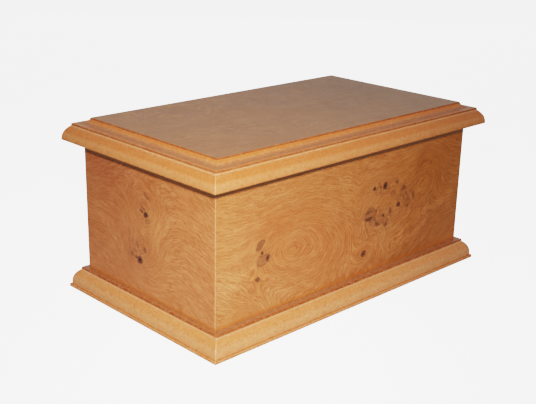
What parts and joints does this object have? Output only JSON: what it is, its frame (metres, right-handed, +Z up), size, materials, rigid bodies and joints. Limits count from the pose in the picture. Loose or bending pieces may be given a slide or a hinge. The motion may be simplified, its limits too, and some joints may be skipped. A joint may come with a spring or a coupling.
{
  "type": "cremation ashes casket",
  "caption": "Rectangular burr oak ashes casket with mitred walls, a moulded plinth and a lift-off moulded lid with a raised panel.",
  "frame": {"origin": "middle of the casket's underside, on the surface it stands on", "axes": "+X along the length, +Y from the front wall towards the back wall, +Z up"},
  "size_m": [0.3056, 0.181, 0.141],
  "materials": {
    "burr_oak": "satin lacquer",
    "stained_oak": "satin lacquer"
  },
  "bodies": {
    "root": {"plinth": "stained_oak", "front_wall": "burr_oak", "back_wall": "burr_oak", "left_wall": "burr_oak", "right_wall": "burr_oak", "lid": "burr_oak"}
  },
  "joints": []
}
